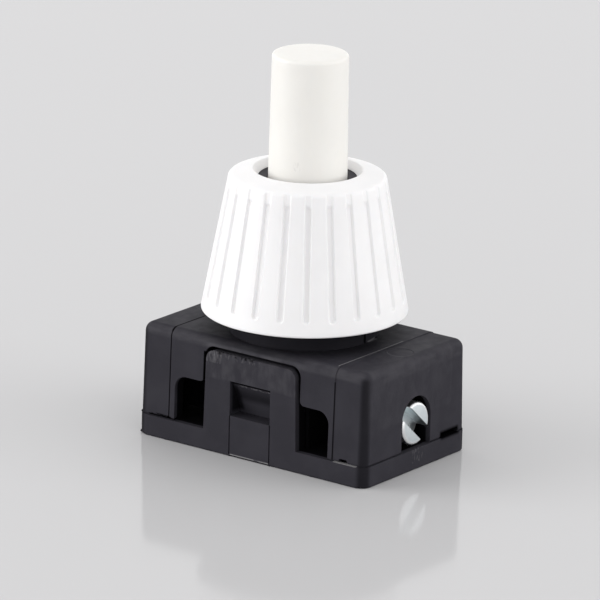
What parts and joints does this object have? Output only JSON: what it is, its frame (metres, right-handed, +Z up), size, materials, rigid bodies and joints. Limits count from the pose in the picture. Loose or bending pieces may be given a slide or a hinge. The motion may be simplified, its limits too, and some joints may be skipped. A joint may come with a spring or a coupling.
{
  "type": "push on push off lamp switch",
  "caption": "Built-in push on push off lamp switch: snap-together housing with side wire entries and end screw terminals, threaded neck, fluted screw cap and push button.",
  "frame": {"origin": "middle of the base plate's underside, on the axis of the neck", "axes": "+Z up along the neck and the button, +X along the long side of the base, -Y toward the front snap arm"},
  "size_m": [0.0256, 0.0188, 0.0365],
  "materials": {
    "body_black": "fine-textured moulded thermoplastic, charcoal black",
    "cap_white": "smooth semi-matte moulded plastic, white",
    "button_cream": "satin moulded plastic, warm white",
    "rotor_plastic": "natural moulded plastic",
    "screw_zinc": "bright zinc plated",
    "contact_brass": "bare stamped brass",
    "contact_silver": "silver contact facing",
    "spring_steel": "drawn spring wire"
  },
  "bodies": {
    "switch_body": {"housing": "body_black", "base_plate": "body_black", "right_terminal_cage": "contact_brass", "left_terminal_cage": "contact_brass", "right_contact_spring": "contact_brass", "left_contact_spring": "contact_brass", "right_contact_rivet": "contact_silver", "left_contact_rivet": "contact_silver"},
    "button": {"push_button": "button_cream", "return_spring": "spring_steel"},
    "rotor": {"ratchet_rotor": "rotor_plastic", "contact_bridge": "contact_brass"},
    "cap": {"screw_cap": "cap_white"},
    "right_screw": {"right_terminal_screw": "screw_zinc"},
    "left_screw": {"left_terminal_screw": "screw_zinc"}
  },
  "joints": [
    {"name": "button_press", "type": "slide", "parent": "switch_body", "child": "button", "axis": [0, 0, -1], "range_m": [0, 0.003], "stiffness_N_per_m": 500, "springref_m": -0.003, "deforming": ["return_spring"]},
    {"name": "rotor_turn", "type": "hinge", "parent": "switch_body", "child": "rotor", "pos_m": [0, 0, 0.004], "axis": [0, 0, 1], "range_deg": [0, 90]},
    {"name": "cap_turn", "type": "hinge", "parent": "switch_body", "child": "cap", "pos_m": [0, 0, 0.0185], "axis": [0, 0, 1], "continuous": true},
    {"name": "right_screw_turn", "type": "hinge", "parent": "switch_body", "child": "right_screw", "pos_m": [0.0105, 0, 0.0043], "axis": [1, 0, 0], "continuous": true},
    {"name": "left_screw_turn", "type": "hinge", "parent": "switch_body", "child": "left_screw", "pos_m": [-0.0105, 0, 0.0043], "axis": [-1, 0, 0], "continuous": true}
  ],
  "couplings": [
    {"joint": "rotor_turn", "follows": "button_press", "rad_per_m": 523.5}
  ]
}
